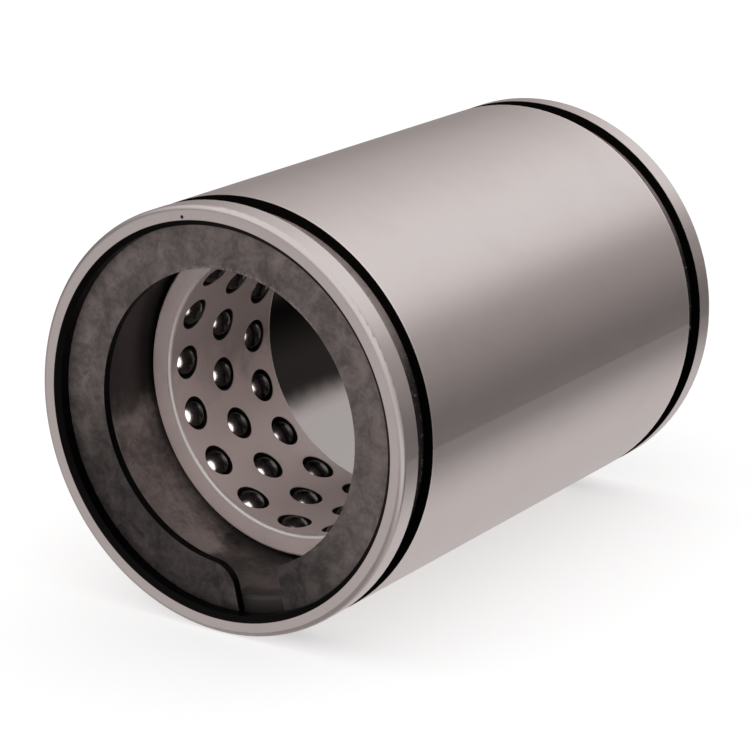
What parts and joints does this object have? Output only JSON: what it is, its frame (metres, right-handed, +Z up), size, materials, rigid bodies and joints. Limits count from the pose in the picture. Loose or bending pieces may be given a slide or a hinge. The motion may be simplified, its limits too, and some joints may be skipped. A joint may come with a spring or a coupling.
{
  "type": "linear ball bushing",
  "caption": "Rotary-linear ball bushing: ground steel sleeve with two outer retaining grooves, flat snap rings inside both ends and a short travelling cage of staggered balls.",
  "frame": {"origin": "centre of the sleeve, on its axis halfway between the end faces", "axes": "+Y along the bushing's axis from the front end to the rear, +Z up, with the snap-ring gaps near the bottom, +X to the right seen from the front"},
  "size_m": [0.045, 0.065, 0.045],
  "materials": {
    "bearing_steel": "ground and lightly polished bearing steel",
    "spring_steel": "dark mottled phosphate coating",
    "cage_alloy": "satin turned aluminium alloy",
    "ball_steel": "mirror polished bearing balls"
  },
  "bodies": {
    "sleeve": {"outer_sleeve": "bearing_steel", "front_snap_ring": "spring_steel", "rear_snap_ring": "spring_steel"},
    "cage": {"ball_cage": "cage_alloy"},
    "ball_row1_01_body": {"ball_row1_01": "ball_steel"},
    "ball_row1_02_body": {"ball_row1_02": "ball_steel"},
    "ball_row1_03_body": {"ball_row1_03": "ball_steel"},
    "ball_row1_04_body": {"ball_row1_04": "ball_steel"},
    "ball_row1_05_body": {"ball_row1_05": "ball_steel"},
    "ball_row1_06_body": {"ball_row1_06": "ball_steel"},
    "ball_row1_07_body": {"ball_row1_07": "ball_steel"},
    "ball_row1_08_body": {"ball_row1_08": "ball_steel"},
    "ball_row1_09_body": {"ball_row1_09": "ball_steel"},
    "ball_row1_10_body": {"ball_row1_10": "ball_steel"},
    "ball_row1_11_body": {"ball_row1_11": "ball_steel"},
    "ball_row1_12_body": {"ball_row1_12": "ball_steel"},
    "ball_row1_13_body": {"ball_row1_13": "ball_steel"},
    "ball_row1_14_body": {"ball_row1_14": "ball_steel"},
    "ball_row1_15_body": {"ball_row1_15": "ball_steel"},
    "ball_row1_16_body": {"ball_row1_16": "ball_steel"},
    "ball_row1_17_body": {"ball_row1_17": "ball_steel"},
    "ball_row2_01_body": {"ball_row2_01": "ball_steel"},
    "ball_row2_02_body": {"ball_row2_02": "ball_steel"},
    "ball_row2_03_body": {"ball_row2_03": "ball_steel"},
    "ball_row2_04_body": {"ball_row2_04": "ball_steel"},
    "ball_row2_05_body": {"ball_row2_05": "ball_steel"},
    "ball_row2_06_body": {"ball_row2_06": "ball_steel"},
    "ball_row2_07_body": {"ball_row2_07": "ball_steel"},
    "ball_row2_08_body": {"ball_row2_08": "ball_steel"},
    "ball_row2_09_body": {"ball_row2_09": "ball_steel"},
    "ball_row2_10_body": {"ball_row2_10": "ball_steel"},
    "ball_row2_11_body": {"ball_row2_11": "ball_steel"},
    "ball_row2_12_body": {"ball_row2_12": "ball_steel"},
    "ball_row2_13_body": {"ball_row2_13": "ball_steel"},
    "ball_row2_14_body": {"ball_row2_14": "ball_steel"},
    "ball_row2_15_body": {"ball_row2_15": "ball_steel"},
    "ball_row2_16_body": {"ball_row2_16": "ball_steel"},
    "ball_row2_17_body": {"ball_row2_17": "ball_steel"},
    "ball_row3_01_body": {"ball_row3_01": "ball_steel"},
    "ball_row3_02_body": {"ball_row3_02": "ball_steel"},
    "ball_row3_03_body": {"ball_row3_03": "ball_steel"},
    "ball_row3_04_body": {"ball_row3_04": "ball_steel"},
    "ball_row3_05_body": {"ball_row3_05": "ball_steel"},
    "ball_row3_06_body": {"ball_row3_06": "ball_steel"},
    "ball_row3_07_body": {"ball_row3_07": "ball_steel"},
    "ball_row3_08_body": {"ball_row3_08": "ball_steel"},
    "ball_row3_09_body": {"ball_row3_09": "ball_steel"},
    "ball_row3_10_body": {"ball_row3_10": "ball_steel"},
    "ball_row3_11_body": {"ball_row3_11": "ball_steel"},
    "ball_row3_12_body": {"ball_row3_12": "ball_steel"},
    "ball_row3_13_body": {"ball_row3_13": "ball_steel"},
    "ball_row3_14_body": {"ball_row3_14": "ball_steel"},
    "ball_row3_15_body": {"ball_row3_15": "ball_steel"},
    "ball_row3_16_body": {"ball_row3_16": "ball_steel"},
    "ball_row3_17_body": {"ball_row3_17": "ball_steel"}
  },
  "joints": [
    {"name": "cage_travel", "type": "slide", "parent": "sleeve", "child": "cage", "axis": [0, 1, 0], "range_m": [-0.00995, 0.03095]},
    {"name": "roll_row1_01", "type": "hinge", "parent": "cage", "child": "ball_row1_01_body", "pos_m": [0.00474, -0.01665, 0.01631], "axis": [0.9603, 0, -0.279], "range_deg": [-289, 895]},
    {"name": "roll_row1_02", "type": "hinge", "parent": "cage", "child": "ball_row1_02_body", "pos_m": [0.01031, -0.01665, 0.0135], "axis": [0.7947, 0, -0.607], "range_deg": [-289, 895]},
    {"name": "roll_row1_03", "type": "hinge", "parent": "cage", "child": "ball_row1_03_body", "pos_m": [0.01449, -0.01665, 0.00886], "axis": [0.5217, 0, -0.8531], "range_deg": [-289, 895]},
    {"name": "roll_row1_04", "type": "hinge", "parent": "cage", "child": "ball_row1_04_body", "pos_m": [0.01671, -0.01665, 0.00303], "axis": [0.1783, 0, -0.984], "range_deg": [-289, 895]},
    {"name": "roll_row1_05", "type": "hinge", "parent": "cage", "child": "ball_row1_05_body", "pos_m": [0.01668, -0.01665, -0.00321], "axis": [-0.1892, 0, -0.9819], "range_deg": [-289, 895]},
    {"name": "roll_row1_06", "type": "hinge", "parent": "cage", "child": "ball_row1_06_body", "pos_m": [0.01439, -0.01665, -0.00902], "axis": [-0.5311, 0, -0.8473], "range_deg": [-289, 895]},
    {"name": "roll_row1_07", "type": "hinge", "parent": "cage", "child": "ball_row1_07_body", "pos_m": [0.01016, -0.01665, -0.01361], "axis": [-0.8013, 0, -0.5982], "range_deg": [-289, 895]},
    {"name": "roll_row1_08", "type": "hinge", "parent": "cage", "child": "ball_row1_08_body", "pos_m": [0.00456, -0.01665, -0.01636], "axis": [-0.9633, 0, -0.2683], "range_deg": [-289, 895]},
    {"name": "roll_row1_09", "type": "hinge", "parent": "cage", "child": "ball_row1_09_body", "pos_m": [-0.00166, -0.01665, -0.0169], "axis": [-0.9952, 0, 0.0978], "range_deg": [-289, 895]},
    {"name": "roll_row1_10", "type": "hinge", "parent": "cage", "child": "ball_row1_10_body", "pos_m": [-0.00765, -0.01665, -0.01516], "axis": [-0.8927, 0, 0.4507], "range_deg": [-289, 895]},
    {"name": "roll_row1_11", "type": "hinge", "parent": "cage", "child": "ball_row1_11_body", "pos_m": [-0.01261, -0.01665, -0.01137], "axis": [-0.6696, 0, 0.7427], "range_deg": [-289, 895]},
    {"name": "roll_row1_12", "type": "hinge", "parent": "cage", "child": "ball_row1_12_body", "pos_m": [-0.01587, -0.01665, -0.00605], "axis": [-0.3561, 0, 0.9345], "range_deg": [-289, 895]},
    {"name": "roll_row1_13", "type": "hinge", "parent": "cage", "child": "ball_row1_13_body", "pos_m": [-0.01698, -0.01665, 0.00009], "axis": [0.0055, 0, 1], "range_deg": [-289, 895]},
    {"name": "roll_row1_14", "type": "hinge", "parent": "cage", "child": "ball_row1_14_body", "pos_m": [-0.0158, -0.01665, 0.00622], "axis": [0.3664, 0, 0.9305], "range_deg": [-289, 895]},
    {"name": "roll_row1_15", "type": "hinge", "parent": "cage", "child": "ball_row1_15_body", "pos_m": [-0.01249, -0.01665, 0.01151], "axis": [0.6778, 0, 0.7353], "range_deg": [-289, 895]},
    {"name": "roll_row1_16", "type": "hinge", "parent": "cage", "child": "ball_row1_16_body", "pos_m": [-0.00749, -0.01665, 0.01525], "axis": [0.8976, 0, 0.4408], "range_deg": [-289, 895]},
    {"name": "roll_row1_17", "type": "hinge", "parent": "cage", "child": "ball_row1_17_body", "pos_m": [-0.00147, -0.01665, 0.01692], "axis": [0.9962, 0, 0.0867], "range_deg": [-289, 895]},
    {"name": "roll_row2_01", "type": "hinge", "parent": "cage", "child": "ball_row2_01_body", "pos_m": [0.00765, -0.0105, 0.01516], "axis": [0.8927, 0, -0.4507], "range_deg": [-289, 895]},
    {"name": "roll_row2_02", "type": "hinge", "parent": "cage", "child": "ball_row2_02_body", "pos_m": [0.01261, -0.0105, 0.01137], "axis": [0.6696, 0, -0.7427], "range_deg": [-289, 895]},
    {"name": "roll_row2_03", "type": "hinge", "parent": "cage", "child": "ball_row2_03_body", "pos_m": [0.01587, -0.0105, 0.00605], "axis": [0.3561, 0, -0.9345], "range_deg": [-289, 895]},
    {"name": "roll_row2_04", "type": "hinge", "parent": "cage", "child": "ball_row2_04_body", "pos_m": [0.01698, -0.0105, -0.00009], "axis": [-0.0055, 0, -1], "range_deg": [-289, 895]},
    {"name": "roll_row2_05", "type": "hinge", "parent": "cage", "child": "ball_row2_05_body", "pos_m": [0.0158, -0.0105, -0.00622], "axis": [-0.3664, 0, -0.9305], "range_deg": [-289, 895]},
    {"name": "roll_row2_06", "type": "hinge", "parent": "cage", "child": "ball_row2_06_body", "pos_m": [0.01249, -0.0105, -0.01151], "axis": [-0.6778, 0, -0.7353], "range_deg": [-289, 895]},
    {"name": "roll_row2_07", "type": "hinge", "parent": "cage", "child": "ball_row2_07_body", "pos_m": [0.00749, -0.0105, -0.01525], "axis": [-0.8976, 0, -0.4408], "range_deg": [-289, 895]},
    {"name": "roll_row2_08", "type": "hinge", "parent": "cage", "child": "ball_row2_08_body", "pos_m": [0.00147, -0.0105, -0.01692], "axis": [-0.9962, 0, -0.0867], "range_deg": [-289, 895]},
    {"name": "roll_row2_09", "type": "hinge", "parent": "cage", "child": "ball_row2_09_body", "pos_m": [-0.00474, -0.0105, -0.01631], "axis": [-0.9603, 0, 0.279], "range_deg": [-289, 895]},
    {"name": "roll_row2_10", "type": "hinge", "parent": "cage", "child": "ball_row2_10_body", "pos_m": [-0.01031, -0.0105, -0.0135], "axis": [-0.7947, 0, 0.607], "range_deg": [-289, 895]},
    {"name": "roll_row2_11", "type": "hinge", "parent": "cage", "child": "ball_row2_11_body", "pos_m": [-0.01449, -0.0105, -0.00886], "axis": [-0.5217, 0, 0.8531], "range_deg": [-289, 895]},
    {"name": "roll_row2_12", "type": "hinge", "parent": "cage", "child": "ball_row2_12_body", "pos_m": [-0.01671, -0.0105, -0.00303], "axis": [-0.1783, 0, 0.984], "range_deg": [-289, 895]},
    {"name": "roll_row2_13", "type": "hinge", "parent": "cage", "child": "ball_row2_13_body", "pos_m": [-0.01668, -0.0105, 0.00321], "axis": [0.1892, 0, 0.9819], "range_deg": [-289, 895]},
    {"name": "roll_row2_14", "type": "hinge", "parent": "cage", "child": "ball_row2_14_body", "pos_m": [-0.01439, -0.0105, 0.00902], "axis": [0.5311, 0, 0.8473], "range_deg": [-289, 895]},
    {"name": "roll_row2_15", "type": "hinge", "parent": "cage", "child": "ball_row2_15_body", "pos_m": [-0.01016, -0.0105, 0.01361], "axis": [0.8013, 0, 0.5982], "range_deg": [-289, 895]},
    {"name": "roll_row2_16", "type": "hinge", "parent": "cage", "child": "ball_row2_16_body", "pos_m": [-0.00456, -0.0105, 0.01636], "axis": [0.9633, 0, 0.2683], "range_deg": [-289, 895]},
    {"name": "roll_row2_17", "type": "hinge", "parent": "cage", "child": "ball_row2_17_body", "pos_m": [0.00166, -0.0105, 0.0169], "axis": [0.9952, 0, -0.0978], "range_deg": [-289, 895]},
    {"name": "roll_row3_01", "type": "hinge", "parent": "cage", "child": "ball_row3_01_body", "pos_m": [0.00474, -0.00435, 0.01631], "axis": [0.9603, 0, -0.279], "range_deg": [-289, 895]},
    {"name": "roll_row3_02", "type": "hinge", "parent": "cage", "child": "ball_row3_02_body", "pos_m": [0.01031, -0.00435, 0.0135], "axis": [0.7947, 0, -0.607], "range_deg": [-289, 895]},
    {"name": "roll_row3_03", "type": "hinge", "parent": "cage", "child": "ball_row3_03_body", "pos_m": [0.01449, -0.00435, 0.00886], "axis": [0.5217, 0, -0.8531], "range_deg": [-289, 895]},
    {"name": "roll_row3_04", "type": "hinge", "parent": "cage", "child": "ball_row3_04_body", "pos_m": [0.01671, -0.00435, 0.00303], "axis": [0.1783, 0, -0.984], "range_deg": [-289, 895]},
    {"name": "roll_row3_05", "type": "hinge", "parent": "cage", "child": "ball_row3_05_body", "pos_m": [0.01668, -0.00435, -0.00321], "axis": [-0.1892, 0, -0.9819], "range_deg": [-289, 895]},
    {"name": "roll_row3_06", "type": "hinge", "parent": "cage", "child": "ball_row3_06_body", "pos_m": [0.01439, -0.00435, -0.00902], "axis": [-0.5311, 0, -0.8473], "range_deg": [-289, 895]},
    {"name": "roll_row3_07", "type": "hinge", "parent": "cage", "child": "ball_row3_07_body", "pos_m": [0.01016, -0.00435, -0.01361], "axis": [-0.8013, 0, -0.5982], "range_deg": [-289, 895]},
    {"name": "roll_row3_08", "type": "hinge", "parent": "cage", "child": "ball_row3_08_body", "pos_m": [0.00456, -0.00435, -0.01636], "axis": [-0.9633, 0, -0.2683], "range_deg": [-289, 895]},
    {"name": "roll_row3_09", "type": "hinge", "parent": "cage", "child": "ball_row3_09_body", "pos_m": [-0.00166, -0.00435, -0.0169], "axis": [-0.9952, 0, 0.0978], "range_deg": [-289, 895]},
    {"name": "roll_row3_10", "type": "hinge", "parent": "cage", "child": "ball_row3_10_body", "pos_m": [-0.00765, -0.00435, -0.01516], "axis": [-0.8927, 0, 0.4507], "range_deg": [-289, 895]},
    {"name": "roll_row3_11", "type": "hinge", "parent": "cage", "child": "ball_row3_11_body", "pos_m": [-0.01261, -0.00435, -0.01137], "axis": [-0.6696, 0, 0.7427], "range_deg": [-289, 895]},
    {"name": "roll_row3_12", "type": "hinge", "parent": "cage", "child": "ball_row3_12_body", "pos_m": [-0.01587, -0.00435, -0.00605], "axis": [-0.3561, 0, 0.9345], "range_deg": [-289, 895]},
    {"name": "roll_row3_13", "type": "hinge", "parent": "cage", "child": "ball_row3_13_body", "pos_m": [-0.01698, -0.00435, 0.00009], "axis": [0.0055, 0, 1], "range_deg": [-289, 895]},
    {"name": "roll_row3_14", "type": "hinge", "parent": "cage", "child": "ball_row3_14_body", "pos_m": [-0.0158, -0.00435, 0.00622], "axis": [0.3664, 0, 0.9305], "range_deg": [-289, 895]},
    {"name": "roll_row3_15", "type": "hinge", "parent": "cage", "child": "ball_row3_15_body", "pos_m": [-0.01249, -0.00435, 0.01151], "axis": [0.6778, 0, 0.7353], "range_deg": [-289, 895]},
    {"name": "roll_row3_16", "type": "hinge", "parent": "cage", "child": "ball_row3_16_body", "pos_m": [-0.00749, -0.00435, 0.01525], "axis": [0.8976, 0, 0.4408], "range_deg": [-289, 895]},
    {"name": "roll_row3_17", "type": "hinge", "parent": "cage", "child": "ball_row3_17_body", "pos_m": [-0.00147, -0.00435, 0.01692], "axis": [0.9962, 0, 0.0867], "range_deg": [-289, 895]}
  ],
  "couplings": [
    {"joint": "roll_row1_01", "follows": "cage_travel", "rad_per_m": 503.91},
    {"joint": "roll_row1_02", "follows": "cage_travel", "rad_per_m": 503.91},
    {"joint": "roll_row1_03", "follows": "cage_travel", "rad_per_m": 503.91},
    {"joint": "roll_row1_04", "follows": "cage_travel", "rad_per_m": 503.91},
    {"joint": "roll_row1_05", "follows": "cage_travel", "rad_per_m": 503.91},
    {"joint": "roll_row1_06", "follows": "cage_travel", "rad_per_m": 503.91},
    {"joint": "roll_row1_07", "follows": "cage_travel", "rad_per_m": 503.91},
    {"joint": "roll_row1_08", "follows": "cage_travel", "rad_per_m": 503.91},
    {"joint": "roll_row1_09", "follows": "cage_travel", "rad_per_m": 503.91},
    {"joint": "roll_row1_10", "follows": "cage_travel", "rad_per_m": 503.91},
    {"joint": "roll_row1_11", "follows": "cage_travel", "rad_per_m": 503.91},
    {"joint": "roll_row1_12", "follows": "cage_travel", "rad_per_m": 503.91},
    {"joint": "roll_row1_13", "follows": "cage_travel", "rad_per_m": 503.91},
    {"joint": "roll_row1_14", "follows": "cage_travel", "rad_per_m": 503.91},
    {"joint": "roll_row1_15", "follows": "cage_travel", "rad_per_m": 503.91},
    {"joint": "roll_row1_16", "follows": "cage_travel", "rad_per_m": 503.91},
    {"joint": "roll_row1_17", "follows": "cage_travel", "rad_per_m": 503.91},
    {"joint": "roll_row2_01", "follows": "cage_travel", "rad_per_m": 503.91},
    {"joint": "roll_row2_02", "follows": "cage_travel", "rad_per_m": 503.91},
    {"joint": "roll_row2_03", "follows": "cage_travel", "rad_per_m": 503.91},
    {"joint": "roll_row2_04", "follows": "cage_travel", "rad_per_m": 503.91},
    {"joint": "roll_row2_05", "follows": "cage_travel", "rad_per_m": 503.91},
    {"joint": "roll_row2_06", "follows": "cage_travel", "rad_per_m": 503.91},
    {"joint": "roll_row2_07", "follows": "cage_travel", "rad_per_m": 503.91},
    {"joint": "roll_row2_08", "follows": "cage_travel", "rad_per_m": 503.91},
    {"joint": "roll_row2_09", "follows": "cage_travel", "rad_per_m": 503.91},
    {"joint": "roll_row2_10", "follows": "cage_travel", "rad_per_m": 503.91},
    {"joint": "roll_row2_11", "follows": "cage_travel", "rad_per_m": 503.91},
    {"joint": "roll_row2_12", "follows": "cage_travel", "rad_per_m": 503.91},
    {"joint": "roll_row2_13", "follows": "cage_travel", "rad_per_m": 503.91},
    {"joint": "roll_row2_14", "follows": "cage_travel", "rad_per_m": 503.91},
    {"joint": "roll_row2_15", "follows": "cage_travel", "rad_per_m": 503.91},
    {"joint": "roll_row2_16", "follows": "cage_travel", "rad_per_m": 503.91},
    {"joint": "roll_row2_17", "follows": "cage_travel", "rad_per_m": 503.91},
    {"joint": "roll_row3_01", "follows": "cage_travel", "rad_per_m": 503.91},
    {"joint": "roll_row3_02", "follows": "cage_travel", "rad_per_m": 503.91},
    {"joint": "roll_row3_03", "follows": "cage_travel", "rad_per_m": 503.91},
    {"joint": "roll_row3_04", "follows": "cage_travel", "rad_per_m": 503.91},
    {"joint": "roll_row3_05", "follows": "cage_travel", "rad_per_m": 503.91},
    {"joint": "roll_row3_06", "follows": "cage_travel", "rad_per_m": 503.91},
    {"joint": "roll_row3_07", "follows": "cage_travel", "rad_per_m": 503.91},
    {"joint": "roll_row3_08", "follows": "cage_travel", "rad_per_m": 503.91},
    {"joint": "roll_row3_09", "follows": "cage_travel", "rad_per_m": 503.91},
    {"joint": "roll_row3_10", "follows": "cage_travel", "rad_per_m": 503.91},
    {"joint": "roll_row3_11", "follows": "cage_travel", "rad_per_m": 503.91},
    {"joint": "roll_row3_12", "follows": "cage_travel", "rad_per_m": 503.91},
    {"joint": "roll_row3_13", "follows": "cage_travel", "rad_per_m": 503.91},
    {"joint": "roll_row3_14", "follows": "cage_travel", "rad_per_m": 503.91},
    {"joint": "roll_row3_15", "follows": "cage_travel", "rad_per_m": 503.91},
    {"joint": "roll_row3_16", "follows": "cage_travel", "rad_per_m": 503.91},
    {"joint": "roll_row3_17", "follows": "cage_travel", "rad_per_m": 503.91}
  ]
}
